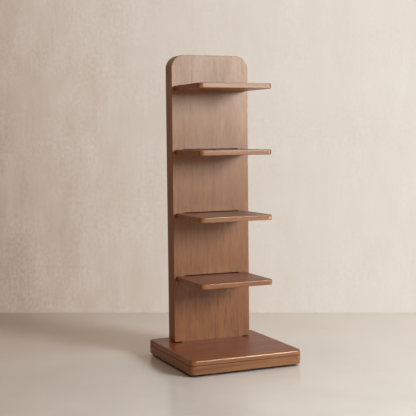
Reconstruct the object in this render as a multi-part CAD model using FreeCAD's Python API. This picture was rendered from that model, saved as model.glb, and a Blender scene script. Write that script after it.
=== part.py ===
import FreeCAD, Part
import math
import os

# A free-standing bookshelf: a thick upright spine on a two-slab base carries cantilevered shelves.
# X runs along the shelves, Y from front to back and Z up, all in millimetres.
# The origin lies on the floor under the middle of the base.

Vector = FreeCAD.Vector
ORIGIN = Vector(0, 0, 0)
ACROSS = Vector(1, 0, 0)
BACKWARD = Vector(0, 1, 0)
UPWARD = Vector(0, 0, 1)
FULL_TURN = 360
QUARTER_TURN = 90
HALF_QUARTER_TURN = 45
HEX_SIDES = 6

# Base
BASE_SIDE_MARGIN = 75.0
BASE_FRONT_REACH = 368.0
BASE_BACK_REACH = 65.0
UPPER_SLAB_THICKNESS = 22.0
LOWER_SLAB_THICKNESS = 40.0
BASE_CORNER_RADIUS = 25.0
BASE_EDGE_RADIUS = 9.0
BASE_LOWER_EDGE_RADIUS = 6.0
SEAM_GROOVE_HEIGHT = 2.0
SEAM_GROOVE_DEPTH = 6.0
SEAM_BEVEL = 0.6

# Spine: two panels on a frame
SPINE_WIDTH = 370.0
SPINE_ABOVE_TOP_SHELF = 136.0
PANEL_THICKNESS = 18.0
CORE_THICKNESS = 36.0
SPINE_CORNER_RADIUS = 60.0
SPINE_EDGE_RADIUS = 2.0
STILE_WIDTH = 36.0
STILE_STUB_RECESS = 8.0
STILE_STUB_DEPTH = 8.0
TOP_RAIL_MARGIN = 6.0
FOOT_RAIL_HEIGHT = 80.0
SHOULDER_GAP = 5.0
RAIL_LIP = 25.0
RAIL_WEB = 16.0
MORTISE_WALL = 16.0

# Shelves
SHELF_COUNT = 4
SHELF_SIDE_INSET = 14.0
SHELF_DEPTH = 276.0
SHELF_THICKNESS = 22.0
FIRST_SHELF_HEIGHT = 298.0
SHELF_PITCH = 282.0
SHELF_CORNER_RADIUS = 20.0
SHELF_EDGE_RADIUS = 3.0
TENON_SHOULDER = 1.0
SHADOW_GAP = 4.0

# Bolts and their inserts, the same for the shelves and the spine's foot
BOLT_DIAMETER = 8.0
BOLT_HEAD_DIAMETER = 15.0
BOLT_HEAD_HEIGHT = 4.5
BOLT_HEAD_BEVEL = 0.8
BOLT_KEY_SIZE = 5.0
BOLT_KEY_DEPTH = 3.0
BOLT_TIP_ROOM = 4.0
INSERT_WALL = 2.0
INSERT_LENGTH = 18.0
SLAB_COUNTERBORE_DEPTH = 12.0
SHELF_BOLT_INSET = 43.0
FOOT_BOLT_COUNT = 4
FOOT_BOLT_INSET = 29.0

# Caps over the shelf bolts
CAP_LAP = 2.0
CAP_FLANGE_HEIGHT = 1.5
CAP_FLANGE_BEVEL = 0.7
CAP_PLUG_LENGTH = 3.0

# Dowels
FRAME_DOWEL_DIAMETER = 8.0
FRAME_DOWEL_COVER = 16.0
FRAME_DOWEL_INSET = 12.0
SLAB_DOWEL_DIAMETER = 10.0
SLAB_DOWEL_SIDE_INSET = 35.0
SLAB_DOWEL_END_INSET = 130.0
DOWEL_BEVEL = 1.0

# Screws between the slabs, and the wood left above them and above the dowels there
SCREW_DIAMETER = 4.5
SCREW_HEAD_DIAMETER = 9.0
SCREW_HEAD_HEIGHT = 2.7
SCREW_TIP_LENGTH = 5.0
SCREW_COUNTERBORE_DEPTH = 10.0
SCREW_SIDE_INSET = 110.0
SLAB_COVER = 8.0

# Levelling feet
FOOT_INSET = 60.0
PAD_DIAMETER = 36.0
PAD_HEIGHT = 9.0
PAD_EDGE_RADIUS = 1.2
PAD_FLOOR = 2.6
PAD_KEYHOLE_DIAMETER = 7.0
STEM_DIAMETER = 8.0
STEM_BEVEL = 1.0
STEM_KEY_SIZE = 4.0
STEM_KEY_DEPTH = 3.0
STEM_DISC_LEDGE = 3.0
STEM_DISC_THICKNESS = 3.0
BORE_CEILING = 5.0
NUT_WALL = 2.0
NUT_LENGTH = 12.0
NUT_FLANGE_WIDTH = 5.0
NUT_FLANGE_THICKNESS = 1.5

# Clearances
JOINT_CLEARANCE = 0.2
TENON_END_CLEARANCE = 1.0
THREAD_CLEARANCE = 0.05
SEAT_CLEARANCE = 0.05
SHANK_CLEARANCE = 0.3
BOLT_HEAD_CLEARANCE = 1.0
CAP_CLEARANCE = 1.5
DOWEL_END_CLEARANCE = 0.5
STEM_END_CLEARANCE = 3.0
DISC_CLEARANCE = 0.08

# How far a cutting shape runs past the faces that it cuts, and how near two heights count as one
OVERRUN = 1.0
SAME_PLACE = 0.001

# Overall sizes
SPINE_THICKNESS = CORE_THICKNESS + 2 * PANEL_THICKNESS
BASE_WIDTH = SPINE_WIDTH + 2 * BASE_SIDE_MARGIN
BASE_DEPTH = BASE_FRONT_REACH + SPINE_THICKNESS + BASE_BACK_REACH
SHELF_WIDTH = SPINE_WIDTH - 2 * SHELF_SIDE_INSET
SHELF_RAIL_HEIGHT = SHELF_THICKNESS + 2 * RAIL_LIP

# Heights above the floor
SEAM_Z = PAD_HEIGHT + LOWER_SLAB_THICKNESS
BASE_TOP_Z = SEAM_Z + UPPER_SLAB_THICKNESS
SHOULDER_Z = BASE_TOP_Z + SHOULDER_GAP
FOOT_RAIL_TOP_Z = SHOULDER_Z + FOOT_RAIL_HEIGHT
SHELF_TOPS = [BASE_TOP_Z + FIRST_SHELF_HEIGHT + row * SHELF_PITCH for row in range(SHELF_COUNT)]
SPINE_TOP_Z = SHELF_TOPS[-1] + SPINE_ABOVE_TOP_SHELF
TOP_RAIL_Z = SPINE_TOP_Z - SPINE_CORNER_RADIUS - TOP_RAIL_MARGIN

# Diameters round the fasteners
INSERT_DIAMETER = BOLT_DIAMETER + 2 * INSERT_WALL
COUNTERBORE_DIAMETER = BOLT_HEAD_DIAMETER + 2 * BOLT_HEAD_CLEARANCE
CAP_FLANGE_DIAMETER = COUNTERBORE_DIAMETER + 2 * CAP_LAP
STEM_DISC_DIAMETER = STEM_DIAMETER + 2 * STEM_DISC_LEDGE
NUT_DIAMETER = STEM_DIAMETER + 2 * NUT_WALL
NUT_FLANGE_DIAMETER = NUT_DIAMETER + 2 * NUT_FLANGE_WIDTH

# Planes of the spine from back to front
SPINE_BACK_Y = BASE_DEPTH / 2 - BASE_BACK_REACH
CORE_BACK_Y = SPINE_BACK_Y - PANEL_THICKNESS
CORE_FRONT_Y = CORE_BACK_Y - CORE_THICKNESS
CORE_MIDDLE_Y = (CORE_BACK_Y + CORE_FRONT_Y) / 2
SPINE_FRONT_Y = CORE_FRONT_Y - PANEL_THICKNESS
MORTISE_END_Y = CORE_BACK_Y - RAIL_WEB
TENON_END_Y = MORTISE_END_Y - TENON_END_CLEARANCE
PANEL_COUNTERBORE_DEPTH = BOLT_HEAD_HEIGHT + CAP_PLUG_LENGTH + CAP_CLEARANCE
PANEL_SEAT_Y = SPINE_BACK_Y - PANEL_COUNTERBORE_DEPTH

# Half widths
SPINE_HALF = SPINE_WIDTH / 2
RAIL_HALF = SPINE_HALF - STILE_WIDTH
TENON_HALF = RAIL_HALF - MORTISE_WALL

# Lengths that follow from what the fasteners pass through
BOLT_ENGAGEMENT = INSERT_LENGTH - BOLT_TIP_ROOM
SHELF_BOLT_LENGTH = PANEL_SEAT_Y - TENON_END_Y + BOLT_ENGAGEMENT
FOOT_BOLT_LENGTH = LOWER_SLAB_THICKNESS - SLAB_COUNTERBORE_DEPTH + BOLT_ENGAGEMENT
FRAME_DOWEL_LENGTH = 2 * (STILE_WIDTH - FRAME_DOWEL_COVER)
SLAB_GRIP = UPPER_SLAB_THICKNESS - SLAB_COVER
SLAB_DOWEL_LENGTH = 2 * SLAB_GRIP
SCREW_LENGTH = LOWER_SLAB_THICKNESS - SCREW_COUNTERBORE_DEPTH + SLAB_GRIP
STEM_REACH = LOWER_SLAB_THICKNESS - BORE_CEILING - STEM_END_CLEARANCE

# Places of the feet: side and end of the base
FOOT_CORNERS = {"front_left": (-1, -1), "front_right": (1, -1), "rear_left": (-1, 1), "rear_right": (1, 1)}


def box(x_low, x_high, y_low, y_high, z_low, z_high):
    corner = Vector(x_low, y_low, z_low)
    return Part.makeBox(x_high - x_low, y_high - y_low, z_high - z_low, corner)


def rod(radius, start, axis, length):
    return Part.makeCylinder(radius, length, start, axis)


def level_edges(shape, height):
    """The edges of a shape that lie in the level plane at a height."""
    flat = [edge for edge in shape.Edges if edge.BoundBox.ZLength < SAME_PLACE]
    return [edge for edge in flat if abs(edge.BoundBox.ZMin - height) < SAME_PLACE]


def rounded_slab(width, depth, thickness, corner_radius):
    """A level slab with round corners, its underside on the floor and its middle at the origin."""
    slab = box(-width / 2, width / 2, -depth / 2, depth / 2, 0, thickness)
    upright = [edge for edge in slab.Edges if edge.BoundBox.ZLength > SAME_PLACE]
    return slab.makeFillet(corner_radius, upright)


def turned(points):
    """A solid of revolution about Z from an outline of radius and height."""
    corners = [Vector(radius, 0, height) for radius, height in points]
    outline = Part.makePolygon(corners + corners[:1])
    return Part.Face(outline).revolve(ORIGIN, UPWARD, FULL_TURN)


def hex_prism(across_flats, length):
    radius = across_flats / math.sqrt(3)
    corners = []
    for side in range(HEX_SIDES):
        angle = math.radians(FULL_TURN * side / HEX_SIDES)
        corners.append(Vector(radius * math.cos(angle), radius * math.sin(angle), 0))
    outline = Part.makePolygon(corners + corners[:1])
    return Part.Face(outline).extrude(UPWARD * length)


def standing(shape, place):
    """A copy of an upright fastener at its place."""
    return shape.translated(place)


def lying(shape, place):
    """A copy of an upright fastener turned so that its top points to the front."""
    return shape.rotated(ORIGIN, ACROSS, QUARTER_TURN).translated(place)


def mirrored_places(x, y, z):
    return [Vector(side * x, y, z) for side in (-1, 1)]


def corner_places(side_inset, end_inset, z):
    """Four places on the base, set in from its sides and from its front and back."""
    y = BASE_DEPTH / 2 - end_inset
    x = BASE_WIDTH / 2 - side_inset
    return mirrored_places(x, -y, z) + mirrored_places(x, y, z)


# Fasteners, each upright at the origin


def bolt(length):
    """A socket-head bolt with its head below the origin and its shank above."""
    shank_radius = BOLT_DIAMETER / 2
    head_radius = BOLT_HEAD_DIAMETER / 2
    profile = [
        (0, -BOLT_HEAD_HEIGHT),
        (head_radius - BOLT_HEAD_BEVEL, -BOLT_HEAD_HEIGHT),
        (head_radius, BOLT_HEAD_BEVEL - BOLT_HEAD_HEIGHT),
        (head_radius, 0),
        (shank_radius, 0),
        (shank_radius, length - BOLT_HEAD_BEVEL),
        (shank_radius - BOLT_HEAD_BEVEL, length),
        (0, length),
    ]
    socket = hex_prism(BOLT_KEY_SIZE, BOLT_KEY_DEPTH).translated(Vector(0, 0, -BOLT_HEAD_HEIGHT))
    return turned(profile).cut(socket)


def threaded_insert():
    bore = BOLT_DIAMETER / 2 + THREAD_CLEARANCE
    outside = INSERT_DIAMETER / 2
    return turned([(bore, 0), (outside, 0), (outside, INSERT_LENGTH), (bore, INSERT_LENGTH)])


def bolt_cap():
    """A press-in cap: a bevelled flange below the origin and a plug above."""
    flange = CAP_FLANGE_DIAMETER / 2
    plug = COUNTERBORE_DIAMETER / 2 - SEAT_CLEARANCE
    return turned([
        (0, -CAP_FLANGE_HEIGHT),
        (flange - CAP_FLANGE_BEVEL, -CAP_FLANGE_HEIGHT),
        (flange, CAP_FLANGE_BEVEL - CAP_FLANGE_HEIGHT),
        (flange, 0),
        (plug, 0),
        (plug, CAP_PLUG_LENGTH),
        (0, CAP_PLUG_LENGTH),
    ])


def dowel(diameter, length):
    """A dowel centred on the origin."""
    radius = diameter / 2
    end = length / 2
    return turned([
        (0, -end),
        (radius - DOWEL_BEVEL, -end),
        (radius, DOWEL_BEVEL - end),
        (radius, end - DOWEL_BEVEL),
        (radius - DOWEL_BEVEL, end),
        (0, end),
    ])


def dowel_hole(diameter, length):
    reach = length + 2 * DOWEL_END_CLEARANCE
    return rod(diameter / 2 + SEAT_CLEARANCE, Vector(0, 0, -reach / 2), UPWARD, reach)


def slab_screw(clearance):
    """A countersunk screw, head down. A clearance makes the hole that it fits."""
    head = SCREW_HEAD_DIAMETER / 2 + clearance
    shank = SCREW_DIAMETER / 2 + clearance
    tip = SCREW_LENGTH + clearance
    return turned([
        (0, 0),
        (head, 0),
        (shank, SCREW_HEAD_HEIGHT),
        (shank, tip - SCREW_TIP_LENGTH),
        (0, tip),
    ])


# Where the fasteners go


def shelf_middle(top):
    """The height of the middle of a shelf's thickness."""
    return top - SHELF_THICKNESS / 2


def tenon_span(top):
    """The underside and top of a shelf's tenon."""
    return top - SHELF_THICKNESS + TENON_SHOULDER, top - TENON_SHOULDER


def shelf_bolt_places(y):
    """Two places behind each shelf, at the middle of its thickness, as pairs of shelf and place."""
    places = []
    for row, top in enumerate(SHELF_TOPS):
        for place in mirrored_places(TENON_HALF - SHELF_BOLT_INSET, y, shelf_middle(top)):
            places.append((row, place))
    return places


def foot_bolt_places(z):
    """Places in a row along the tongue, evenly spread between its ends."""
    last = RAIL_HALF - FOOT_BOLT_INSET
    pitch = 2 * last / (FOOT_BOLT_COUNT - 1)
    return [Vector(count * pitch - last, CORE_MIDDLE_Y, z) for count in range(FOOT_BOLT_COUNT)]


def screw_places(z):
    """Six places: midway between the spine and the back of the base, as far from its front, and between."""
    middle_row = mirrored_places(BASE_WIDTH / 2 - SCREW_SIDE_INSET, 0, z)
    return corner_places(SCREW_SIDE_INSET, BASE_BACK_REACH / 2, z) + middle_row


def slab_dowel_places():
    return corner_places(SLAB_DOWEL_SIDE_INSET, SLAB_DOWEL_END_INSET, SEAM_Z)


def foot_place(corner):
    side, end = FOOT_CORNERS[corner]
    x = side * (BASE_WIDTH / 2 - FOOT_INSET)
    y = end * (BASE_DEPTH / 2 - FOOT_INSET)
    return Vector(x, y, 0)


def shelf_rail_span(top):
    """The lower and upper edge of the rail behind a shelf."""
    middle = shelf_middle(top)
    return middle - SHELF_RAIL_HEIGHT / 2, middle + SHELF_RAIL_HEIGHT / 2


def frame_dowels(make):
    """Dowels, or the holes for them, between rails and stiles, from a function that makes one."""
    level = make(FRAME_DOWEL_DIAMETER, FRAME_DOWEL_LENGTH).rotated(ORIGIN, BACKWARD, QUARTER_TURN)
    upright = make(FRAME_DOWEL_DIAMETER, FRAME_DOWEL_LENGTH)
    rails = [(SHOULDER_Z, FOOT_RAIL_TOP_Z)] + [shelf_rail_span(top) for top in SHELF_TOPS]
    dowels = []
    for low, high in rails:
        for height in (low + FRAME_DOWEL_INSET, high - FRAME_DOWEL_INSET):
            for place in mirrored_places(RAIL_HALF, CORE_MIDDLE_Y, height):
                dowels.append(level.translated(place))
    for place in mirrored_places(SPINE_HALF - STILE_WIDTH / 2, CORE_MIDDLE_Y, TOP_RAIL_Z):
        dowels.append(upright.translated(place))
    return dowels


# Base


def slab_dowel_holes():
    hole = dowel_hole(SLAB_DOWEL_DIAMETER, SLAB_DOWEL_LENGTH)
    return [standing(hole, place) for place in slab_dowel_places()]


def slab_screw_holes():
    hole = slab_screw(SEAT_CLEARANCE)
    return [standing(hole, place) for place in screw_places(PAD_HEIGHT + SCREW_COUNTERBORE_DEPTH)]


def counterbore(diameter, depth, place):
    """A straight hole from below the base up to the seat of a bolt or screw."""
    return rod(diameter / 2, place - UPWARD * OVERRUN, UPWARD, depth + OVERRUN)


def base_upper_slab():
    slab = rounded_slab(BASE_WIDTH, BASE_DEPTH, UPPER_SLAB_THICKNESS, BASE_CORNER_RADIUS)
    slab = slab.makeFillet(BASE_EDGE_RADIUS, level_edges(slab, UPPER_SLAB_THICKNESS))
    slab = slab.makeChamfer(SEAM_BEVEL, level_edges(slab, 0))
    slab = slab.translated(Vector(0, 0, SEAM_Z))
    mortise = box(
        -RAIL_HALF - JOINT_CLEARANCE, RAIL_HALF + JOINT_CLEARANCE,
        SPINE_FRONT_Y - JOINT_CLEARANCE, SPINE_BACK_Y + JOINT_CLEARANCE,
        SEAM_Z - OVERRUN, BASE_TOP_Z + OVERRUN,
    )
    housings = [stile_stub(side, JOINT_CLEARANCE) for side in (-1, 1)]
    return slab.cut([mortise] + housings + slab_dowel_holes() + slab_screw_holes())


def base_lower_slab():
    """The lower slab, rebated round its top so that a dark groove parts the two slabs."""
    brim = LOWER_SLAB_THICKNESS - SEAM_GROOVE_HEIGHT
    slab = rounded_slab(BASE_WIDTH, BASE_DEPTH, brim, BASE_CORNER_RADIUS)
    slab = slab.makeFillet(BASE_LOWER_EDGE_RADIUS, level_edges(slab, 0))
    slab = slab.makeChamfer(SEAM_BEVEL, level_edges(slab, brim))
    raised = rounded_slab(
        BASE_WIDTH - 2 * SEAM_GROOVE_DEPTH, BASE_DEPTH - 2 * SEAM_GROOVE_DEPTH,
        LOWER_SLAB_THICKNESS, BASE_CORNER_RADIUS - SEAM_GROOVE_DEPTH,
    )
    slab = slab.fuse(raised).removeSplitter().translated(Vector(0, 0, PAD_HEIGHT))
    holes = slab_dowel_holes() + slab_screw_holes()
    for place in screw_places(PAD_HEIGHT):
        holes.append(counterbore(SCREW_HEAD_DIAMETER + 2 * SEAT_CLEARANCE, SCREW_COUNTERBORE_DEPTH, place))
    for place in foot_bolt_places(PAD_HEIGHT):
        holes.append(counterbore(COUNTERBORE_DIAMETER, SLAB_COUNTERBORE_DEPTH, place))
        holes.append(rod(BOLT_DIAMETER / 2 + SHANK_CLEARANCE, place, UPWARD, LOWER_SLAB_THICKNESS + OVERRUN))
    for corner in FOOT_CORNERS:
        holes.extend(foot_holes(foot_place(corner) + UPWARD * PAD_HEIGHT))
    return slab.cut(holes)


def foot_holes(place):
    """Bores in the underside for the flange and barrel of an insert nut and for the stem above it."""
    flange = counterbore(NUT_FLANGE_DIAMETER + 2 * SEAT_CLEARANCE, NUT_FLANGE_THICKNESS, place)
    barrel = rod(NUT_DIAMETER / 2 + SEAT_CLEARANCE, place, UPWARD, NUT_LENGTH)
    stem = rod(STEM_DIAMETER / 2 + SHANK_CLEARANCE, place, UPWARD, STEM_REACH + STEM_END_CLEARANCE)
    return [flange, barrel, stem]


# Spine


def upright_board(bottom_z, front_y, thickness):
    """A board of the spine's full width with round top corners."""
    centre_x = SPINE_HALF - SPINE_CORNER_RADIUS
    centre_z = SPINE_TOP_Z - SPINE_CORNER_RADIUS
    reach = SPINE_CORNER_RADIUS * math.sin(math.radians(HALF_QUARTER_TURN))
    lower_left = Vector(-SPINE_HALF, front_y, bottom_z)
    lower_right = Vector(SPINE_HALF, front_y, bottom_z)
    left = Vector(-SPINE_HALF, front_y, centre_z)
    right = Vector(SPINE_HALF, front_y, centre_z)
    top_left = Vector(-centre_x, front_y, SPINE_TOP_Z)
    top_right = Vector(centre_x, front_y, SPINE_TOP_Z)
    left_arc = Part.Arc(left, Vector(-centre_x - reach, front_y, centre_z + reach), top_left)
    right_arc = Part.Arc(top_right, Vector(centre_x + reach, front_y, centre_z + reach), right)
    outline = Part.Wire([
        Part.makeLine(lower_left, left),
        left_arc.toShape(),
        Part.makeLine(top_left, top_right),
        right_arc.toShape(),
        Part.makeLine(right, lower_right),
        Part.makeLine(lower_right, lower_left),
    ])
    return Part.Face(outline).extrude(BACKWARD * thickness)


def spine_panel(front_y, outer_y):
    """A panel with its outer edges eased and a tongue below its shoulders."""
    board = upright_board(SHOULDER_Z, front_y, PANEL_THICKNESS)
    bounds = [(edge, edge.BoundBox) for edge in board.Edges]
    outer = [
        edge for edge, bound in bounds
        if max(abs(bound.YMin - outer_y), abs(bound.YMax - outer_y)) < SAME_PLACE
        and bound.ZMax > SHOULDER_Z + SAME_PLACE
    ]
    board = board.makeFillet(SPINE_EDGE_RADIUS, outer)
    tongue = box(-RAIL_HALF, RAIL_HALF, front_y, front_y + PANEL_THICKNESS, SEAM_Z, SHOULDER_Z)
    return board.fuse(tongue).removeSplitter()


def spine_front_panel():
    """The front panel, with a slot for each tenon that leaves a dark gap above the shelf."""
    half = TENON_HALF + JOINT_CLEARANCE
    slots = []
    for top in SHELF_TOPS:
        slots.append(box(
            -half, half,
            SPINE_FRONT_Y - OVERRUN, CORE_FRONT_Y + OVERRUN,
            tenon_span(top)[0], top + SHADOW_GAP,
        ))
    return spine_panel(SPINE_FRONT_Y, SPINE_FRONT_Y).cut(slots)


def shelf_bolt_holes():
    """Clearance holes from the bolts' seats forward into the rails."""
    length = PANEL_SEAT_Y - MORTISE_END_Y + OVERRUN
    radius = BOLT_DIAMETER / 2 + SHANK_CLEARANCE
    return [rod(radius, place, -BACKWARD, length) for row, place in shelf_bolt_places(PANEL_SEAT_Y)]


def spine_back_panel():
    """The back panel, with a counterbored hole for each shelf bolt."""
    seats = []
    for row, place in shelf_bolt_places(PANEL_SEAT_Y):
        seats.append(rod(COUNTERBORE_DIAMETER / 2, place, BACKWARD, PANEL_COUNTERBORE_DEPTH + OVERRUN))
    return spine_panel(CORE_BACK_Y, SPINE_BACK_Y).cut(seats + shelf_bolt_holes())


def stile_stub(side, clearance):
    """The stub below a stile, set in from the spine's side. A clearance makes its housing in the base."""
    inner, outer = sorted((side * RAIL_HALF, side * (SPINE_HALF - STILE_STUB_RECESS)))
    return box(
        inner - clearance, outer + clearance,
        CORE_FRONT_Y - clearance, CORE_BACK_Y + clearance,
        BASE_TOP_Z - STILE_STUB_DEPTH, SHOULDER_Z,
    )


def spine_stile(side):
    inner, outer = sorted((side * RAIL_HALF, side * SPINE_HALF))
    stile = box(inner, outer, CORE_FRONT_Y, CORE_BACK_Y, SHOULDER_Z, TOP_RAIL_Z)
    stile = stile.fuse(stile_stub(side, 0)).removeSplitter()
    return stile.cut(frame_dowels(dowel_hole))


def spine_top_rail():
    rail = upright_board(TOP_RAIL_Z, CORE_FRONT_Y, CORE_THICKNESS)
    return rail.cut(frame_dowels(dowel_hole))


def spine_foot_rail():
    """The rail between the stiles' lower ends, which goes on down as the core of the tongue."""
    rail = box(-RAIL_HALF, RAIL_HALF, CORE_FRONT_Y, CORE_BACK_Y, SEAM_Z, FOOT_RAIL_TOP_Z)
    radius = INSERT_DIAMETER / 2 + SEAT_CLEARANCE
    bores = [rod(radius, place, UPWARD, INSERT_LENGTH) for place in foot_bolt_places(SEAM_Z)]
    return rail.cut(bores + frame_dowels(dowel_hole))


def shelf_rail(top):
    """The rail behind a shelf, with the mortise that carries the tenon."""
    low, high = shelf_rail_span(top)
    tenon_low, tenon_high = tenon_span(top)
    rail = box(-RAIL_HALF, RAIL_HALF, CORE_FRONT_Y, CORE_BACK_Y, low, high)
    mortise = box(
        -TENON_HALF - JOINT_CLEARANCE, TENON_HALF + JOINT_CLEARANCE,
        CORE_FRONT_Y - OVERRUN, MORTISE_END_Y,
        tenon_low, tenon_high + JOINT_CLEARANCE,
    )
    return rail.cut([mortise] + shelf_bolt_holes() + frame_dowels(dowel_hole))


# Shelves


def shelf(row):
    """A board narrower than the spine, shaped all round and sawn square at the spine, with a tenon behind."""
    top = SHELF_TOPS[row]
    blank_depth = SHELF_DEPTH + SHELF_CORNER_RADIUS
    board = rounded_slab(SHELF_WIDTH, blank_depth, SHELF_THICKNESS, SHELF_CORNER_RADIUS)
    eased = level_edges(board, 0) + level_edges(board, SHELF_THICKNESS)
    board = board.makeFillet(SHELF_EDGE_RADIUS, eased)
    front_y = SPINE_FRONT_Y - SHELF_DEPTH
    bottom = top - SHELF_THICKNESS
    board = board.translated(Vector(0, front_y + blank_depth / 2, bottom))
    waste = box(
        -SHELF_WIDTH / 2 - OVERRUN, SHELF_WIDTH / 2 + OVERRUN,
        SPINE_FRONT_Y, front_y + blank_depth + OVERRUN,
        bottom - OVERRUN, top + OVERRUN,
    )
    tenon = box(-TENON_HALF, TENON_HALF, SPINE_FRONT_Y, TENON_END_Y, *tenon_span(top))
    board = board.cut(waste).fuse(tenon).removeSplitter()
    bores = []
    for place_row, place in shelf_bolt_places(TENON_END_Y):
        if place_row == row:
            bores.append(rod(INSERT_DIAMETER / 2 + SEAT_CLEARANCE, place, -BACKWARD, INSERT_LENGTH))
    return board.cut(bores)


# Levelling feet


def foot_stem(place):
    """A threaded stem on a disc, with a hex socket underneath."""
    radius = STEM_DIAMETER / 2
    disc = STEM_DISC_DIAMETER / 2
    disc_top = PAD_FLOOR + STEM_DISC_THICKNESS
    top = PAD_HEIGHT + STEM_REACH
    stem = turned([
        (0, PAD_FLOOR),
        (disc, PAD_FLOOR),
        (disc, disc_top),
        (radius, disc_top),
        (radius, top - STEM_BEVEL),
        (radius - STEM_BEVEL, top),
        (0, top),
    ])
    socket = hex_prism(STEM_KEY_SIZE, STEM_KEY_DEPTH).translated(Vector(0, 0, PAD_FLOOR))
    return stem.cut(socket).translated(place)


def foot_pad(place):
    """A round pad with a pocket for the stem's disc and a keyhole below it."""
    pad = rod(PAD_DIAMETER / 2, ORIGIN, UPWARD, PAD_HEIGHT)
    pad = pad.makeFillet(PAD_EDGE_RADIUS, level_edges(pad, 0))
    pocket_top = PAD_FLOOR + STEM_DISC_THICKNESS + DISC_CLEARANCE
    pocket = turned([
        (0, PAD_FLOOR),
        (STEM_DISC_DIAMETER / 2 + DISC_CLEARANCE, PAD_FLOOR),
        (STEM_DISC_DIAMETER / 2 + DISC_CLEARANCE, pocket_top),
        (0, pocket_top),
    ])
    neck = rod(STEM_DIAMETER / 2 + SHANK_CLEARANCE, UPWARD * PAD_FLOOR, UPWARD, PAD_HEIGHT)
    keyhole = rod(PAD_KEYHOLE_DIAMETER / 2, -UPWARD * OVERRUN, UPWARD, PAD_FLOOR + OVERRUN)
    return pad.cut([pocket, neck, keyhole]).translated(place)


def foot_nut(place):
    """A flanged insert nut, pressed into the underside of the base."""
    bore = STEM_DIAMETER / 2 + THREAD_CLEARANCE
    nut = turned([
        (bore, 0),
        (NUT_FLANGE_DIAMETER / 2, 0),
        (NUT_FLANGE_DIAMETER / 2, NUT_FLANGE_THICKNESS),
        (NUT_DIAMETER / 2, NUT_FLANGE_THICKNESS),
        (NUT_DIAMETER / 2, NUT_LENGTH),
        (bore, NUT_LENGTH),
    ])
    return nut.translated(place + UPWARD * PAD_HEIGHT)


# Nodes


def base_nodes():
    screws = [standing(slab_screw(0), place) for place in screw_places(PAD_HEIGHT + SCREW_COUNTERBORE_DEPTH)]
    dowels = [standing(dowel(SLAB_DOWEL_DIAMETER, SLAB_DOWEL_LENGTH), place) for place in slab_dowel_places()]
    return {
        "base_upper_slab": base_upper_slab(),
        "base_lower_slab": base_lower_slab(),
        "base_slab_screws": Part.makeCompound(screws),
        "base_slab_dowels": Part.makeCompound(dowels),
    }


def spine_nodes():
    seat_z = PAD_HEIGHT + SLAB_COUNTERBORE_DEPTH
    foot_bolts = [standing(bolt(FOOT_BOLT_LENGTH), place) for place in foot_bolt_places(seat_z)]
    foot_inserts = [standing(threaded_insert(), place) for place in foot_bolt_places(SEAM_Z)]
    nodes = {
        "spine_front_panel": spine_front_panel(),
        "spine_back_panel": spine_back_panel(),
        "spine_left_stile": spine_stile(-1),
        "spine_right_stile": spine_stile(1),
        "spine_top_rail": spine_top_rail(),
        "spine_foot_rail": spine_foot_rail(),
        "spine_frame_dowels": Part.makeCompound(frame_dowels(dowel)),
        "spine_foot_bolts": Part.makeCompound(foot_bolts),
        "spine_foot_inserts": Part.makeCompound(foot_inserts),
    }
    for row, top in enumerate(SHELF_TOPS):
        nodes["spine_shelf_rail_%d" % (row + 1)] = shelf_rail(top)
    return nodes


def shelf_nodes():
    bolts = [lying(bolt(SHELF_BOLT_LENGTH), place) for row, place in shelf_bolt_places(PANEL_SEAT_Y)]
    inserts = [lying(threaded_insert(), place) for row, place in shelf_bolt_places(TENON_END_Y)]
    caps = [lying(bolt_cap(), place) for row, place in shelf_bolt_places(SPINE_BACK_Y)]
    nodes = {
        "shelf_bolts": Part.makeCompound(bolts),
        "shelf_bolt_inserts": Part.makeCompound(inserts),
        "shelf_bolt_caps": Part.makeCompound(caps),
    }
    for row in range(SHELF_COUNT):
        nodes["shelf_%d" % (row + 1)] = shelf(row)
    return nodes


def foot_nodes():
    places = {corner: foot_place(corner) for corner in FOOT_CORNERS}
    nodes = {"foot_nuts": Part.makeCompound([foot_nut(place) for place in places.values()])}
    for corner, place in places.items():
        nodes["%s_foot_stem" % corner] = foot_stem(place)
        nodes["%s_foot_pad" % corner] = foot_pad(place)
    return nodes


os.makedirs("parts", exist_ok=True)
for make_nodes in (base_nodes, spine_nodes, shelf_nodes, foot_nodes):
    for node, shape in make_nodes().items():
        shape.exportStep(os.path.join("parts", node + ".step"))
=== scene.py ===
import math

import bmesh
import bpy
from mathutils import Matrix, Vector


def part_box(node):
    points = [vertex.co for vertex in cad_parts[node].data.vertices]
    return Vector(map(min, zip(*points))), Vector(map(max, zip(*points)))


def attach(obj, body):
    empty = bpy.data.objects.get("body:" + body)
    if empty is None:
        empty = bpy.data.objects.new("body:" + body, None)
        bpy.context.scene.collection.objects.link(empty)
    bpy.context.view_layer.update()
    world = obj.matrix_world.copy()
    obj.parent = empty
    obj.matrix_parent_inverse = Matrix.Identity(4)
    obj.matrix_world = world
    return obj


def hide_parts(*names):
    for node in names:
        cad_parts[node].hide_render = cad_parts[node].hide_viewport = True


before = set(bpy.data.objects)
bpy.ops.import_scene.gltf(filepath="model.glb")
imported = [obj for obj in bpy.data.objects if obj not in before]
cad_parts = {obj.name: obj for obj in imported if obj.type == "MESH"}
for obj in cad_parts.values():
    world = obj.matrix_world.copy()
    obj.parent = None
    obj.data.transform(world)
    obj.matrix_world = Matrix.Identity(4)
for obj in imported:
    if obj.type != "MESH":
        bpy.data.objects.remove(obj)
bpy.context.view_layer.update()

# The looks of a free-standing walnut bookshelf, in metres, in the frame of its solid model:
# X runs along the shelves, Y from front to back and Z up, with the floor at zero.

QUARTER_TURN = math.radians(90)

# Camera: turned to the right of the spine's normal, tipped down and rolled a little
IMAGE_SIZE = 416
CAMERA_PLACE = Vector((-1.768, -3.934, 0.984))
CAMERA_YAW = math.radians(23.387)
CAMERA_PITCH = math.radians(4.066)
CAMERA_ROLL = math.radians(-0.599)
CAMERA_LENS = 85.107
SENSOR_WIDTH = 36.0

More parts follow.
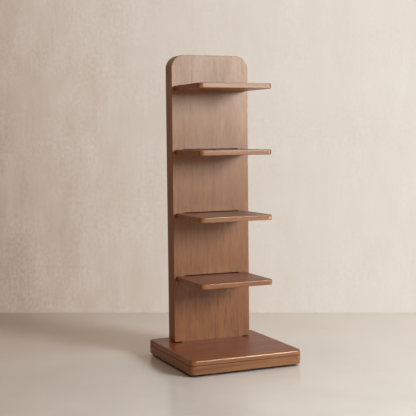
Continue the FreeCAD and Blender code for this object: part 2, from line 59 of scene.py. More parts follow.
# Stage: the foot of the wall shows as a level line at that height in the image
WALL_FOOT_PIXEL = 312.6
WALL_WIDTH = 14.0
WALL_HEIGHT = 5.0
FLOOR_SIZE = 24.0

# Lamps: a soft key, a strip that only gives glints, and even light from all round
LAMP_COLOUR = (0.975, 1.0, 0.935)
KEY_PLACE = Vector((2.2, -3.8, 2.025))
KEY_AIM = Vector((0.0, 0.1, 0.75))
KEY_SIZE = (1.3, 1.4)
KEY_POWER = 171.0
STRIP_PLACE = Vector((3.1, -2.6, 0.72))
STRIP_AIM = Vector((0.0, 0.0, 0.7))
STRIP_SIZE = (0.25, 1.3)
STRIP_POWER = 40.0
AMBIENT_STRENGTH = 0.29


def srgb(red, green, blue):
    """A colour written as it shows on a screen, from 0 to 255, as a linear colour with full alpha."""
    channels = []
    for value in (red, green, blue):
        share = value / 255
        channels.append(share / 12.92 if share <= 0.04045 else ((share + 0.055) / 1.055) ** 2.4)
    return (*channels, 1.0)


# Colours: those of heartwood and of the painted shade on tops multiply the wood's own
AMBIENT_COLOUR = srgb(255, 217, 180)
WALNUT_LIGHT = srgb(163, 113, 68)
WALNUT_DARK = srgb(97, 50, 20)
WALNUT_RED = srgb(145, 87, 46)
# Worn colour on edges, which on the roundings of front and back faces is also a painted highlight
WALNUT_WORN_AND_HIGHLIGHT = srgb(204, 160, 122)
# Painted shade for crevices and gaps between parts
WALNUT_CREVICE_SHADE = srgb(106, 52, 18)
WALNUT_TOP_SHADE = srgb(253, 216, 170)
WALNUT_HEART = srgb(252, 240, 220)
BEECH_LIGHT = srgb(222, 190, 150)
BEECH_DARK = srgb(196, 156, 112)
ZINC_LIGHT = srgb(196, 198, 200)
ZINC_DARK = srgb(150, 153, 158)
BRASS_LIGHT = srgb(214, 178, 104)
BRASS_DARK = srgb(168, 128, 62)
CAP_LIGHT = srgb(92, 62, 42)
CAP_DARK = srgb(66, 44, 30)
PAD_LIGHT = srgb(44, 43, 42)
PAD_DARK = srgb(26, 26, 26)
WALL_BRIGHT = srgb(238, 230, 221)
WALL_SHADE = srgb(149, 121, 101)
WALL_STAIN_AND_SHADE = srgb(200, 178, 152)
FLOOR_LIGHT = srgb(247, 249, 254)
FLOOR_DARK = srgb(237, 239, 244)
# Painted shade on the floor close under the base
FLOOR_CONTACT_SHADE = srgb(24, 11, 4)
FLOOR_BOUNCE = srgb(232, 206, 176)

# In all that follows, cells are a noise's cells per metre, and a name with EDGE or BY is the range of a value
# that becomes a mask from 0 to 1, or from the third number to the fourth where there are four.

# Edges, roundings and crevices of all materials
EDGE_SAMPLES = 4
EDGE_BY_LEAN = (0.995, 0.86)
FRONT_POWER = 5.0
ROUNDED_BY_SLANT = (0.01, 0.16)
CREVICE_SAMPLES = 8

# Walnut's growth rings, about a pith that wanders
WARP_CELLS = (5.0, 5.0, 0.9)
WARP_REACH = 0.016
RING_WIDTH = 0.011
LATE_WOOD_POWER = 3.0
LATE_WOOD_EDGE = (1.0, 0.9)
BREAK_EDGE = (0.38, 0.6)

# Walnut's other patterns: cells across and along the grain, and the noise's detail and roughness
BREAKS = (60.0, 6.0, 2.0, 0.5)
PATCHES = (9.0, 1.6, 2.0, 0.5)
BANDS = (34.0, 0.5, 2.0, 0.5)
STREAKS = (130.0, 0.45, 2.0, 0.6)
DASHES = (340.0, 1.5, 1.0, 0.5)
FIBRES = (850.0, 16.0, 3.0, 0.65)
PORES = (1500.0, 60.0, 1.0, 0.5)
RED_PATCHES = (14.0, 1.4, 1.0, 0.5)
PORE_EDGE = (0.63, 0.72)
RED_EDGE = (0.42, 0.72, 0.0, 0.35)

# How far each pattern moves walnut's tone from light to dark, and where the colours on it show
MIDDLE_TONE = 0.43
PATCH_TONE = 0.4
BAND_TONE = 0.8
STREAK_TONE = 1.0
DASH_TONE = 0.6
FIBRE_TONE = 0.3
RING_TONE = 0.6
FIGURE_BY_HEIGHT = (0.3, 1.1, 1.0, 0.5)
HEART_BY_HEIGHT = (0.75, 0.2)
PORES_BY_RING = (0.9, 0.1, 0.35, 1.0)
WEAR_AND_HIGHLIGHT_BY_STREAK = (0.35, 0.65, 0.6, 1.0)
TOP_SHADE_BY_SLOPE = (0.7, 0.98)
CREVICE_SHADE_BY_SLOPE = (-0.98, -0.7, 0.0, 0.75)
PORE_SHARE = 0.55
WEAR_AND_HIGHLIGHT_SHARE = 0.16
WEAR_RADIUS = 0.0025
CREVICE_REACH = 0.02
CREVICE_EDGE = (0.75, 0.25)

# Walnut's gloss and relief
WALNUT_IOR = 1.5
WALNUT_SPECULAR = 0.58
WALNUT_ROUGHNESS = 0.31
TONE_ROUGHNESS = 0.16
FIBRE_ROUGHNESS = 0.16
PATCH_ROUGHNESS = 0.10
PORE_ROUGHNESS = 0.15
CREVICE_SHADE_ROUGHNESS = 0.3
ROUNDED_ROUGHNESS = -0.16
WEAR_AND_HIGHLIGHT_ROUGHNESS = -0.06
FIBRE_RELIEF = 0.6
PORE_RELIEF = -1.0
RING_RELIEF = 0.25
WALNUT_BUMP = 0.00006

# Each board's cut of the log: where the pith lies, how far it leans from the grain, and how red the board is
UPRIGHT_GRAIN = (0.0, 0.0, 0.0)
LENGTHWISE_GRAIN = (0.0, -QUARTER_TURN, 0.0)
SPINE_FRONT_CUT = {"pith": (0.085, 0.120, 0.0), "lean": -0.1}
SPINE_BACK_CUT = {"pith": (-0.06, 0.12, 0.0), "lean": -0.03}
RAIL_CUT = {"pith": (0.4, 0.5, 0.0), "heart": 0.0}
UPPER_SLAB_CUT = {"pith": (-0.20, -0.05, 0.0), "lean": 0.03, "heart": 0.7}
LOWER_SLAB_CUT = {"pith": (-0.22, 0.12, 0.0), "lean": -0.02, "heart": 0.5}
SHELF_HEARTS = {1: 0.7, 2: 0.3, 3: 0.0, 4: 0.0}
SHELF_LEAN = 0.02
SHELF_PITH_ABOVE = 0.05
SHELF_PITH_START = 0.21
SHELF_PITH_STEP = 0.07

# Beech, metal and plastic
BEECH_IOR = 1.5
BEECH_FLECK_CELLS = 600.0
BEECH_FLECK_EDGE = (0.6, 0.7, 0.0, 0.4)
BEECH_TONE_CELLS = 120.0
BEECH_ROUGHNESS_BY_TONE = (0.0, 1.0, 0.5, 0.7)
BEECH_BUMP = 0.0001
METAL_MARK_CELLS = (400.0, 400.0, 5200.0)
METAL_MARK_ROUGHNESS = 0.12
METAL_DULL_CELLS = 160.0
METAL_DULL_EDGE = (0.3, 0.7)
METAL_EDGE_RADIUS = 0.0006
METAL_EDGE_SHARE = 0.6
METAL_BUMP = 0.00003
ZINC_ROUGHNESS = 0.34
ZINC_DULL_ROUGHNESS = 0.18
BRASS_ROUGHNESS = 0.26
BRASS_DULL_ROUGHNESS = 0.14
PLASTIC_IOR = 1.46
PLASTIC_ROUGHNESS = 0.52
PLASTIC_GRAIN_CELLS = 2200.0
PLASTIC_GRAIN_ROUGHNESS = 0.2
PLASTIC_BLOTCH_CELLS = 60.0
PLASTIC_BLOTCH_ROUGHNESS = 0.15
PLASTIC_EDGE_RADIUS = 0.001
PLASTIC_EDGE_SHARE = 0.35
PLASTIC_BUMP = 0.00004

# The wall's light, which falls off to the left and to the floor, by places along the wall
WALL_LIGHT_BY_PLACE = (-1.35, 1.45)
WALL_LIGHT_RISE = 0.22
WALL_LIGHT_CURVE = 0.5

# The wall's limewash: cells along each axis, and the noise's detail and roughness
WALL_PATCHES = ((7.0, 1.0, 3.5), 3.0, 0.55)
WALL_STROKES = ((45.0, 1.0, 6.0), 2.0, 0.5)
WALL_SPECKS = ((64.0, 1.0, 44.0), 3.0, 0.65)
WALL_PITTED_CELLS = 2.6
WALL_PITTED_EDGE = (0.38, 0.62, 0.25, 1.0)
WALL_PATCH_STAIN = 0.7
WALL_STROKE_STAIN = 0.25
WALL_SPECK_STAIN = 0.95
WALL_TEXTURE_BY_LIGHT = (0.35, 0.85, 1.0, 0.3)
WALL_PAINTED_SHADE_BY_LIGHT = (0.35, 0.85, 0.34, 0.14)

# The floor, with painted shade close under the base
FLOOR_SPECULAR = 0.4
FLOOR_CLOUD_CELLS = 3.0
FLOOR_CLOUD_EDGE = (0.3, 0.7)
FLOOR_ROUGHNESS_BY_CLOUD = (0.3, 0.7, 0.2, 0.27)
FLOOR_SHADE_ROUGHNESS = 0.7
FLOOR_CREVICE_REACH = 0.013
FLOOR_CREVICE_EDGE = (0.64, 0.42)
FLOOR_BUMP = 0.00002

# Levelling feet: a stem on a disc with a hex socket. The thread's profile is shares of the pitch and radii.
CORNERS = ("front_left", "front_right", "rear_left", "rear_right")
STEM_STEPS = 36
STEM_RADIUS = 0.004
STEM_TIP_RADIUS = 0.003
DISC_RADIUS = 0.007
DISC_THICKNESS = 0.003
DISC_BEVEL = 0.0003
SOCKET_APOTHEM = 0.002
SOCKET_SIDE_STEPS = STEM_STEPS // 6
THREAD_PITCH = 0.00125
THREAD_ROOT = 0.00323
THREAD_PROFILE = (
    (0.0, THREAD_ROOT), (0.25, THREAD_ROOT), (0.5625, STEM_RADIUS), (0.6875, STEM_RADIUS),
)
THREAD_SMOOTH_ANGLE = math.radians(25)
WELD_DIGITS = 7


# Shader nodes


def place_value(tree, socket, value):
    """Joins a socket to another node's output, or sets it to a constant."""
    if isinstance(value, bpy.types.NodeSocket):
        tree.links.new(value, socket)
    elif isinstance(value, (int, float)) and socket.type == "VECTOR":
        socket.default_value = (value, value, value)
    else:
        socket.default_value = value


def add(tree, kind, settings=None, **inputs):
    """Adds a node. Its inputs are given by name, with an underscore for a space."""
    made = tree.nodes.new("ShaderNode" + kind)
    for key, value in (settings or {}).items():
        setattr(made, key, value)
    for key, value in inputs.items():
        place_value(tree, made.inputs[key.replace("_", " ")], value)
    return made


def calc(tree, operation, *values):
    made = add(tree, "Math", {"operation": operation})
    for socket, value in zip(made.inputs, values):
        place_value(tree, socket, value)
    return made.outputs["Value"]


def times(tree, first, second):
    return calc(tree, "MULTIPLY", first, second)


def total(tree, *values):
    result = values[0]
    for value in values[1:]:
        result = calc(tree, "ADD", result, value)
    return result


def clamped(tree, value):
    return calc(tree, "MINIMUM", calc(tree, "MAXIMUM", value, 0.0), 1.0)


def swing(tree, value, size):
    """A pattern from 0 to 1 as a swing of that size about nothing."""
    return times(tree, calc(tree, "SUBTRACT", value, 0.5), size)


def remap(tree, value, low, high, to_low=0.0, to_high=1.0, smooth=False):
    made = add(
        tree, "MapRange", {"interpolation_type": "SMOOTHSTEP" if smooth else "LINEAR"},
        Value=value, From_Min=low, From_Max=high, To_Min=to_low, To_Max=to_high,
    )
    return made.outputs["Result"]


def vector_calc(tree, operation, *values):
    made = add(tree, "VectorMath", {"operation": operation})
    for socket, value in zip(made.inputs, values):
        place_value(tree, socket, value)
    return made.outputs["Value" if operation in ("LENGTH", "DOT_PRODUCT") else "Vector"]


def parts_of(tree, vector):
    return add(tree, "SeparateXYZ", Vector=vector).outputs


def noise(tree, point, detail=2.0, roughness=0.5, scale=1.0):
    made = add(tree, "TexNoise", Vector=point, Scale=scale, Detail=detail, Roughness=roughness)
    return made.outputs["Fac"]


def stretched_noise(tree, point, cells, detail=2.0, roughness=0.5):
    """Noise with its own number of cells per metre along each axis."""
    return noise(tree, vector_calc(tree, "MULTIPLY", point, cells), detail, roughness)


def grain_noise(tree, point, across, along, detail, roughness):
    """Noise stretched along the grain, which runs along Z."""
    return stretched_noise(tree, point, (across, across, along), detail, roughness)


def mix_colour(tree, share, first, second, blend="MIX"):
    made = tree.nodes.new("ShaderNodeMix")
    made.data_type = "RGBA"
    made.blend_type = blend
    # The node has sockets of the same name for each type, so those of the colour are given by number.
    place_value(tree, made.inputs[0], share)
    place_value(tree, made.inputs[6], first)
    place_value(tree, made.inputs[7], second)
    return made.outputs[2]


def mix_shader(tree, share, first, second):
    mix = add(tree, "MixShader", Fac=share)
    tree.links.new(first, mix.inputs[1])
    tree.links.new(second, mix.inputs[2])
    return mix.outputs["Shader"]


def new_material(name):
    """An empty material, its node tree and the point that it colours, in the object's coordinates."""
    material = bpy.data.materials.new(name)
    material.use_nodes = True
    tree = material.node_tree
    tree.nodes.clear()
    return material, tree, add(tree, "TexCoord").outputs["Object"]


def principled(tree, colour, roughness, height, depth, **constants):
    """A shader with that colour, roughness and relief, and the rest as constants on its own sockets."""
    normal = add(tree, "Bump", Height=height, Distance=depth, Strength=1.0).outputs["Normal"]
    shader = add(tree, "BsdfPrincipled", Base_Color=colour, Roughness=roughness, Normal=normal)
    for key, value in constants.items():
        shader.inputs[key.replace("_", " ")].default_value = value
    return shader.outputs["BSDF"]


def show(tree, surface):
    tree.links.new(surface, add(tree, "OutputMaterial").inputs["Surface"])


def edge_mask(tree, radius):
    """1 along edges and 0 on flats, from how far a rounded normal leans from the true one."""
    rounded = add(tree, "Bevel", {"samples": EDGE_SAMPLES}, Radius=radius).outputs["Normal"]
    true = add(tree, "NewGeometry").outputs["Normal"]
    return remap(tree, vector_calc(tree, "DOT_PRODUCT", rounded, true), *EDGE_BY_LEAN, smooth=True)


def rounded_mask(tree):
    """1 on the rounding round a front or back face and 0 on flats, from the way they face."""
    facing = parts_of(tree, vector_calc(tree, "ABSOLUTE", add(tree, "TexCoord").outputs["Normal"]))
    nearly_front = calc(tree, "POWER", facing["Y"], FRONT_POWER)
    slant = times(tree, nearly_front, calc(tree, "MAXIMUM", facing["X"], facing["Z"]))
    return remap(tree, slant, *ROUNDED_BY_SLANT, smooth=True)


def crevice_mask(tree, reach, edge):
    """1 deep in a crevice and 0 in the open, from how much of the surroundings within reach is open."""
    settings = {"samples": CREVICE_SAMPLES}
    open_share = add(tree, "AmbientOcclusion", settings, Distance=reach).outputs["AO"]
    return remap(tree, open_share, *edge, smooth=True)


# Walnut


def walnut_group():
    """Solid walnut about a pith on the Z axis: growth rings, streaks, fibres and pores, edges lightened as
    wear and as a painted highlight, and painted shade on tops and in crevices.
    """
    group = bpy.data.node_groups.new("walnut", "ShaderNodeTree")
    group.interface.new_socket("Point", in_out="INPUT", socket_type="NodeSocketVector")
    group.interface.new_socket("Heart", in_out="INPUT", socket_type="NodeSocketFloat")
    group.interface.new_socket("Color", in_out="OUTPUT", socket_type="NodeSocketColor")
    group.interface.new_socket("Roughness", in_out="OUTPUT", socket_type="NodeSocketFloat")
    group.interface.new_socket("Height", in_out="OUTPUT", socket_type="NodeSocketFloat")
    inputs = group.nodes.new("NodeGroupInput").outputs
    point = inputs["Point"]

    warp_point = vector_calc(group, "MULTIPLY", point, WARP_CELLS)
    warp = add(group, "TexNoise", Vector=warp_point, Scale=1.0, Detail=2.0).outputs["Color"]
    shift = vector_calc(group, "MULTIPLY", vector_calc(group, "SUBTRACT", warp, 0.5),
                        (WARP_REACH, WARP_REACH, 0.0))
    bent = vector_calc(group, "ADD", point, shift)
    radius = vector_calc(group, "LENGTH", vector_calc(group, "MULTIPLY", bent, (1.0, 1.0, 0.0)))
    rings = calc(group, "DIVIDE", radius, RING_WIDTH)
    ring_number = calc(group, "FLOOR", rings)
    ring_place = calc(group, "FRACT", rings)
    random_strength = add(group, "TexWhiteNoise", {"noise_dimensions": "1D"}, W=ring_number)
    late_wood = times(group, calc(group, "POWER", ring_place, LATE_WOOD_POWER),
                      remap(group, ring_place, *LATE_WOOD_EDGE, smooth=True))
    unbroken = remap(group, grain_noise(group, point, *BREAKS), *BREAK_EDGE)
    ring = times(group, late_wood, times(group, random_strength.outputs["Value"], unbroken))

    patches = grain_noise(group, bent, *PATCHES)
    bands = grain_noise(group, bent, *BANDS)
    streaks = grain_noise(group, point, *STREAKS)
    dashes = grain_noise(group, point, *DASHES)
    fibres = grain_noise(group, point, *FIBRES)
    pores = times(group, remap(group, grain_noise(group, point, *PORES), *PORE_EDGE, smooth=True),
                  remap(group, ring_place, *PORES_BY_RING))
    redness = remap(group, grain_noise(group, bent, *RED_PATCHES), *RED_EDGE)
    rounded = rounded_mask(group)
    # Edges are lightened as wear, and the roundings of front and back faces also as a painted highlight
    edges = calc(group, "MAXIMUM", edge_mask(group, WEAR_RADIUS), rounded)
    wear_and_highlight = times(group, edges, remap(group, streaks, *WEAR_AND_HIGHLIGHT_BY_STREAK))
    upward = parts_of(group, add(group, "TexCoord").outputs["Normal"])["Z"]
    # Painted shade: faces that look up are made warmer and darker
    top_shade = remap(group, upward, *TOP_SHADE_BY_SLOPE, smooth=True)
    # Painted shade: crevices and gaps between parts are darkened by how closed in they are, except on faces
    # that look down
    painted_shade = times(group, crevice_mask(group, CREVICE_REACH, CREVICE_EDGE),
                  remap(group, upward, *CREVICE_SHADE_BY_SLOPE))

    figure = total(
        group, swing(group, patches, PATCH_TONE), swing(group, bands, BAND_TONE),
        swing(group, streaks, STREAK_TONE), swing(group, dashes, DASH_TONE),
        swing(group, fibres, FIBRE_TONE), times(group, ring, RING_TONE),
    )
    figure_strength = remap(group, parts_of(group, point)["Z"], *FIGURE_BY_HEIGHT)
    tone = calc(group, "MULTIPLY_ADD", figure, figure_strength, MIDDLE_TONE)
    colour = mix_colour(group, clamped(group, tone), WALNUT_LIGHT, WALNUT_DARK)
    colour = mix_colour(group, redness, colour, WALNUT_RED)
    colour = mix_colour(group, inputs["Heart"], colour, WALNUT_HEART, blend="MULTIPLY")
    colour = mix_colour(group, times(group, pores, PORE_SHARE), colour, WALNUT_DARK)
    colour = mix_colour(group, times(group, wear_and_highlight, WEAR_AND_HIGHLIGHT_SHARE), colour, WALNUT_WORN_AND_HIGHLIGHT)
    colour = mix_colour(group, top_shade, colour, WALNUT_TOP_SHADE, blend="MULTIPLY")
    colour = mix_colour(group, painted_shade, colour, WALNUT_CREVICE_SHADE)

    roughness = total(
        group, WALNUT_ROUGHNESS, times(group, tone, TONE_ROUGHNESS),
        swing(group, fibres, FIBRE_ROUGHNESS), swing(group, patches, PATCH_ROUGHNESS),
        times(group, pores, PORE_ROUGHNESS), times(group, painted_shade, CREVICE_SHADE_ROUGHNESS),
        times(group, rounded, ROUNDED_ROUGHNESS), times(group, wear_and_highlight, WEAR_AND_HIGHLIGHT_ROUGHNESS),
    )
    height = total(
        group, swing(group, fibres, FIBRE_RELIEF), times(group, pores, PORE_RELIEF),
        times(group, ring, RING_RELIEF),
    )
    output = group.nodes.new("NodeGroupOutput")
    group.links.new(colour, output.inputs["Color"])
    group.links.new(roughness, output.inputs["Roughness"])
    group.links.new(height, output.inputs["Height"])
    return group


def walnut(name, group, turn, pith, lean=0.0, heart=None):
    """Walnut for one board. The turn brings its grain to Z, and the pith leans from it.

    The heart is how red the board is. Without it, the board gets redder towards its foot.
    """
    material, tree, point = new_material("walnut_" + name)
    mapping = add(tree, "Mapping", {"vector_type": "POINT"}, Vector=point, Rotation=turn)
    grain = mapping.outputs["Vector"]
    along = parts_of(tree, grain)["Z"]
    drift = add(tree, "CombineXYZ", X=0.0, Y=times(tree, along, lean), Z=0.0).outputs["Vector"]
    centred = vector_calc(tree, "SUBTRACT", vector_calc(tree, "ADD", grain, drift), pith)
    if heart is None:
        heart = remap(tree, along, *HEART_BY_HEIGHT)
    wood = add(tree, "Group", {"node_tree": group}, Point=centred, Heart=heart).outputs
    show(tree, principled(
        tree, wood["Color"], wood["Roughness"], wood["Height"], WALNUT_BUMP,
        IOR=WALNUT_IOR, Specular_IOR_Level=WALNUT_SPECULAR,
    ))
    return material


# Other materials


def beech():
    """Pale wood with short flecks."""
    material, tree, point = new_material("beech")
    flecks = noise(tree, point, scale=BEECH_FLECK_CELLS)
    tone = noise(tree, point, detail=3.0, scale=BEECH_TONE_CELLS)
    colour = mix_colour(tree, tone, BEECH_LIGHT, BEECH_DARK)
    colour = mix_colour(tree, remap(tree, flecks, *BEECH_FLECK_EDGE), colour, BEECH_DARK)
    roughness = remap(tree, tone, *BEECH_ROUGHNESS_BY_TONE)
    show(tree, principled(tree, colour, roughness, flecks, BEECH_BUMP, IOR=BEECH_IOR))
    return material


def metal(name, light, dark, even_roughness, dull_roughness):
    """Turned metal with fine marks, dull patches and brighter edges."""
    material, tree, point = new_material(name)
    marks = stretched_noise(tree, point, METAL_MARK_CELLS)
    dull = noise(tree, point, detail=3.0, scale=METAL_DULL_CELLS)
    bright = times(tree, edge_mask(tree, METAL_EDGE_RADIUS), METAL_EDGE_SHARE)
    colour = mix_colour(tree, remap(tree, dull, *METAL_DULL_EDGE), light, dark)
    colour = mix_colour(tree, bright, colour, light)
    roughness = total(tree, even_roughness, swing(tree, marks, METAL_MARK_ROUGHNESS),
                      swing(tree, dull, dull_roughness))
    show(tree, principled(tree, colour, roughness, marks, METAL_BUMP, Metallic=1.0))
    return material


def plastic(name, light, dark):
    """Moulded plastic with a fine grain and scuffed edges."""
    material, tree, point = new_material(name)
    grain = noise(tree, point, scale=PLASTIC_GRAIN_CELLS)
    blotches = noise(tree, point, scale=PLASTIC_BLOTCH_CELLS)
    scuffed = times(tree, edge_mask(tree, PLASTIC_EDGE_RADIUS), PLASTIC_EDGE_SHARE)
    colour = mix_colour(tree, blotches, light, dark)
    colour = mix_colour(tree, scuffed, colour, light)
    roughness = total(tree, PLASTIC_ROUGHNESS, swing(tree, grain, PLASTIC_GRAIN_ROUGHNESS),
                      swing(tree, blotches, PLASTIC_BLOTCH_ROUGHNESS))
    show(tree, principled(tree, colour, roughness, grain, PLASTIC_BUMP, IOR=PLASTIC_IOR))
    return material


# Stage


def seen_ray(tree):
    """1 for what the camera sees, straight or in a reflection, and 0 for light that falls on something."""
    path = add(tree, "LightPath").outputs
    return calc(tree, "MAXIMUM", path["Is Camera Ray"],
                calc(tree, "MAXIMUM", path["Is Glossy Ray"], path["Is Transmission Ray"]))


def one_sided(tree, front):
    """That surface on the front and nothing on the back, so that no view of the object is blocked."""
    back = add(tree, "BsdfTransparent").outputs["BSDF"]
    return mix_shader(tree, add(tree, "NewGeometry").outputs["Backfacing"], front, back)


def wall_material():
    """A backdrop of limewashed plaster with painted light that brightens it to the right, and painted shade
    that makes it darker and warmer to the left. It glows with that colour for the camera and in reflections.
    """
    material, tree, point = new_material("plaster_wall")
    place = parts_of(tree, point)
    slope = calc(tree, "MULTIPLY_ADD", place["Z"], WALL_LIGHT_RISE, place["X"])
    light = calc(tree, "POWER", remap(tree, slope, *WALL_LIGHT_BY_PLACE), WALL_LIGHT_CURVE)
    patches = stretched_noise(tree, point, *WALL_PATCHES)
    strokes = stretched_noise(tree, point, *WALL_STROKES)
    specks = stretched_noise(tree, point, *WALL_SPECKS)
    pitted = remap(tree, noise(tree, point, scale=WALL_PITTED_CELLS), *WALL_PITTED_EDGE, smooth=True)
    texture = total(
        tree, swing(tree, patches, WALL_PATCH_STAIN), swing(tree, strokes, WALL_STROKE_STAIN),
        times(tree, swing(tree, specks, WALL_SPECK_STAIN), pitted),
    )
    # Painted shade: the stain is stronger where the wall's painted light is dim
    stain_and_shade = calc(tree, "MULTIPLY_ADD", texture, remap(tree, light, *WALL_TEXTURE_BY_LIGHT),
                 remap(tree, light, *WALL_PAINTED_SHADE_BY_LIGHT))
    colour = mix_colour(tree, light, WALL_SHADE, WALL_BRIGHT)
    colour = mix_colour(tree, clamped(tree, stain_and_shade), colour, WALL_STAIN_AND_SHADE, blend="MULTIPLY")
    shown = add(tree, "Emission", Color=colour, Strength=1.0).outputs["Emission"]
    lit = add(tree, "BsdfDiffuse", Color=colour).outputs["BSDF"]
    show(tree, one_sided(tree, mix_shader(tree, seen_ray(tree), lit, shown)))
    return material


def floor_material():
    """A smooth cement floor with a soft sheen, darkened by painted shade close under the base. The light that
    it throws back is warmer than it shows.
    """
    material, tree, point = new_material("cement_floor")
    clouds = noise(tree, point, detail=4.0, roughness=0.55, scale=FLOOR_CLOUD_CELLS)
    # Painted shade: the floor darkens where the base closes it in
    painted_shade = crevice_mask(tree, FLOOR_CREVICE_REACH, FLOOR_CREVICE_EDGE)
    colour = mix_colour(tree, remap(tree, clouds, *FLOOR_CLOUD_EDGE), FLOOR_LIGHT, FLOOR_DARK)
    colour = mix_colour(tree, painted_shade, colour, FLOOR_CONTACT_SHADE)
    colour = mix_colour(tree, seen_ray(tree), FLOOR_BOUNCE, colour)
    roughness = calc(tree, "MULTIPLY_ADD", painted_shade, FLOOR_SHADE_ROUGHNESS,
                     remap(tree, clouds, *FLOOR_ROUGHNESS_BY_CLOUD))
    front = principled(tree, colour, roughness, clouds, FLOOR_BUMP, Specular_IOR_Level=FLOOR_SPECULAR)
    show(tree, one_sided(tree, front))
    return material


def link(made):
    bpy.context.scene.collection.objects.link(made)


def camera_axes():
    turn = Matrix.Rotation(-CAMERA_YAW, 4, "Z")
    tip = Matrix.Rotation(QUARTER_TURN - CAMERA_PITCH, 4, "X")
    return turn @ tip @ Matrix.Rotation(CAMERA_ROLL, 4, "Z")


def make_camera():
    camera = bpy.data.objects.new("camera", bpy.data.cameras.new("camera"))
    camera.data.lens = CAMERA_LENS
    camera.data.sensor_width = SENSOR_WIDTH
    camera.matrix_world = Matrix.Translation(CAMERA_PLACE) @ camera_axes()
    link(camera)
    bpy.context.scene.camera = camera


def floor_seen_at(x, y):
    """The point of the floor at a pixel of the image."""
    lens_pixels = IMAGE_SIZE * CAMERA_LENS / SENSOR_WIDTH
    middle = IMAGE_SIZE / 2
    ray = camera_axes().to_3x3() @ Vector((x - middle, middle - y, -lens_pixels))
    return CAMERA_PLACE - ray * (CAMERA_PLACE.z / ray.z)


def sheet(name, corners, material, placement):
    mesh = bpy.data.meshes.new(name)
    mesh.from_pydata(corners, [], [range(len(corners))])
    mesh.materials.append(material)
    made = bpy.data.objects.new(name, mesh)
    made.matrix_world = placement
    link(made)


def make_stage():
    reach = FLOOR_SIZE / 2
    floor = [(-reach, -reach, 0), (reach, -reach, 0), (reach, reach, 0), (-reach, reach, 0)]
    sheet("floor", floor, floor_material(), Matrix.Identity(4))
    left, right = (floor_seen_at(x, WALL_FOOT_PIXEL) for x in (0, IMAGE_SIZE))
    run = right - left
    turn = Matrix.Rotation(math.atan2(run.y, run.x), 4, "Z")
    half = WALL_WIDTH / 2
    wall = [(-half, 0, 0), (half, 0, 0), (half, 0, WALL_HEIGHT), (-half, 0, WALL_HEIGHT)]
    sheet("wall", wall, wall_material(), Matrix.Translation((left + right) / 2) @ turn)


def make_lamp(name, place, aim, size, power, gloss_only=False):
    lamp = bpy.data.objects.new(name, bpy.data.lights.new(name, "AREA"))
    lamp.data.shape = "RECTANGLE"
    lamp.data.size, lamp.data.size_y = size
    lamp.data.energy = power
    lamp.data.color = LAMP_COLOUR
    lamp.location = place
    lamp.rotation_mode = "QUATERNION"
    lamp.rotation_quaternion = (aim - place).to_track_quat("-Z", "Y")
    lamp.visible_diffuse = not gloss_only
    link(lamp)


def make_world():
    """Even light from all round, which is also the background where the wall doesn't reach."""
    world = bpy.data.worlds.new("studio")
    bpy.context.scene.world = world
    world.use_nodes = True
    tree = world.node_tree
    tree.nodes.clear()
    light = add(tree, "Background", Color=AMBIENT_COLOUR, Strength=AMBIENT_STRENGTH)
    tree.links.new(light.outputs["Background"], add(tree, "OutputWorld").inputs["Surface"])


# Threaded stems


def socket_radius(step):
    """How far the side of a hex socket is from its middle."""
    off_flat = (step % SOCKET_SIDE_STEPS - SOCKET_SIDE_STEPS / 2) / STEM_STEPS
    return SOCKET_APOTHEM / math.cos(math.tau * off_flat)


def stem_rows(bottom, top):
    """Rows of radius and height: down a hex socket, round the disc and up the thread of the stem on it."""
    steps = range(STEM_STEPS + 1)
    shoulder = bottom + DISC_THICKNESS
    rows = [[(socket_radius(step), z) for step in steps] for z in (shoulder, bottom)]
    outline = (
        (DISC_RADIUS - DISC_BEVEL, bottom), (DISC_RADIUS, bottom + DISC_BEVEL),
        (DISC_RADIUS, shoulder - DISC_BEVEL), (DISC_RADIUS - DISC_BEVEL, shoulder),
    )
    rows += [[place for step in steps] for place in outline]
    # The thread runs on past both ends, where its rows are pressed flat.
    for turn in range(-1, math.ceil((top - shoulder) / THREAD_PITCH) + 1):
        for share, radius in THREAD_PROFILE:
            row = []
            for step in steps:
                z = shoulder + THREAD_PITCH * (turn + share + step / STEM_STEPS)
                on_thread = shoulder < z < top
                z = min(max(z, shoulder), top)
                row.append((min(radius if on_thread else THREAD_ROOT, STEM_TIP_RADIUS + top - z), z))
            rows.append(row)
    return rows


def stem_mesh(name, low, high):
    """A closed mesh of a stem in that box, in which corners at the same place are one vertex."""
    middle = (low + high) / 2
    shape = bmesh.new()
    made = {}

    def vertex(step, radius, z):
        turn = math.tau * (step % STEM_STEPS) / STEM_STEPS
        place = (middle.x + radius * math.cos(turn), middle.y + radius * math.sin(turn), z)
        key = tuple(round(value, WELD_DIGITS) for value in place)
        if key not in made:
            made[key] = shape.verts.new(place)
        return made[key]

    rows = [[vertex(step, *place) for step, place in enumerate(row)] for row in stem_rows(low.z, high.z)]
    for lower, upper in zip(rows, rows[1:]):
        for step in range(STEM_STEPS):
            loop = list(dict.fromkeys((lower[step], lower[step + 1], upper[step + 1], upper[step])))
            if len(loop) > 2:
                shape.faces.new(loop)
    for end in (rows[0], rows[-1]):
        shape.faces.new(end[:-1])
    bmesh.ops.recalc_face_normals(shape, faces=shape.faces)
    mesh = bpy.data.meshes.new(name)
    shape.to_mesh(mesh)
    shape.free()
    mesh.shade_smooth()
    mesh.set_sharp_from_angle(angle=THREAD_SMOOTH_ANGLE)
    return mesh


def threaded_stem(corner, material):
    """A stem with a real thread, in the place of the plain one, turning with it."""
    name = corner + "_threaded_stem"
    low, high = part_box(corner + "_foot_stem")
    mesh = stem_mesh(name, low, high)
    mesh.materials.append(material)
    piece = bpy.data.objects.new(name, mesh)
    link(piece)
    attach(piece, corner + "_stem")
    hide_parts(corner + "_foot_stem")


# Dressing


def dress(material, *nodes):
    for node in nodes:
        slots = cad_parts[node].data.materials
        slots.clear()
        slots.append(material)


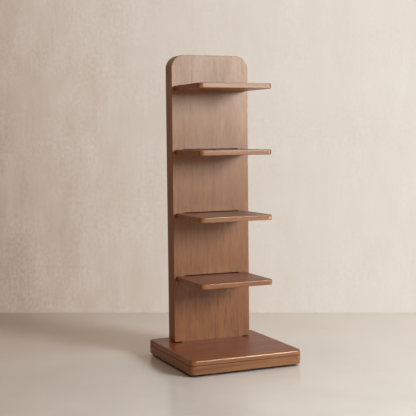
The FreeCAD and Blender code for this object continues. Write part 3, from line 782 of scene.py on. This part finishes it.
def dress_wood():
    """Each board gets its own cut of walnut: the spine's grain is upright, the others' runs along X."""
    group = walnut_group()
    front = walnut("spine_front", group, UPRIGHT_GRAIN, **SPINE_FRONT_CUT)
    dress(front, "spine_front_panel", "spine_left_stile", "spine_right_stile", "spine_top_rail")
    dress(walnut("spine_back", group, UPRIGHT_GRAIN, **SPINE_BACK_CUT), "spine_back_panel")
    rails = ["spine_shelf_rail_%d" % row for row in SHELF_HEARTS]
    dress(walnut("rails", group, LENGTHWISE_GRAIN, **RAIL_CUT), "spine_foot_rail", *rails)
    for row, heart in SHELF_HEARTS.items():
        shelf = "shelf_%d" % row
        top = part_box(shelf)[1].z
        pith = (-top - SHELF_PITH_ABOVE, SHELF_PITH_START - SHELF_PITH_STEP * row, 0.0)
        dress(walnut(shelf, group, LENGTHWISE_GRAIN, pith, lean=SHELF_LEAN, heart=heart), shelf)
    dress(walnut("base_upper", group, LENGTHWISE_GRAIN, **UPPER_SLAB_CUT), "base_upper_slab")
    dress(walnut("base_lower", group, LENGTHWISE_GRAIN, **LOWER_SLAB_CUT), "base_lower_slab")


def dress_fittings():
    """Screws, bolts, nuts and stems are steel, inserts brass, dowels beech, caps and pads plastic."""
    stems = [corner + "_foot_stem" for corner in CORNERS]
    zinc = metal("zinc_steel", ZINC_LIGHT, ZINC_DARK, ZINC_ROUGHNESS, ZINC_DULL_ROUGHNESS)
    dress(zinc, "base_slab_screws", "spine_foot_bolts", "shelf_bolts", "foot_nuts", *stems)
    for corner in CORNERS:
        threaded_stem(corner, zinc)
    brass = metal("brass", BRASS_LIGHT, BRASS_DARK, BRASS_ROUGHNESS, BRASS_DULL_ROUGHNESS)
    dress(brass, "spine_foot_inserts", "shelf_bolt_inserts")
    dress(beech(), "base_slab_dowels", "spine_frame_dowels")
    dress(plastic("brown_plastic", CAP_LIGHT, CAP_DARK), "shelf_bolt_caps")
    pads = [corner + "_foot_pad" for corner in CORNERS]
    dress(plastic("black_plastic", PAD_LIGHT, PAD_DARK), *pads)


bpy.context.scene.view_settings.view_transform = "Standard"
make_camera()
make_stage()
make_lamp("key", KEY_PLACE, KEY_AIM, KEY_SIZE, KEY_POWER)
make_lamp("strip", STRIP_PLACE, STRIP_AIM, STRIP_SIZE, STRIP_POWER, gloss_only=True)
make_world()
dress_wood()
dress_fittings()
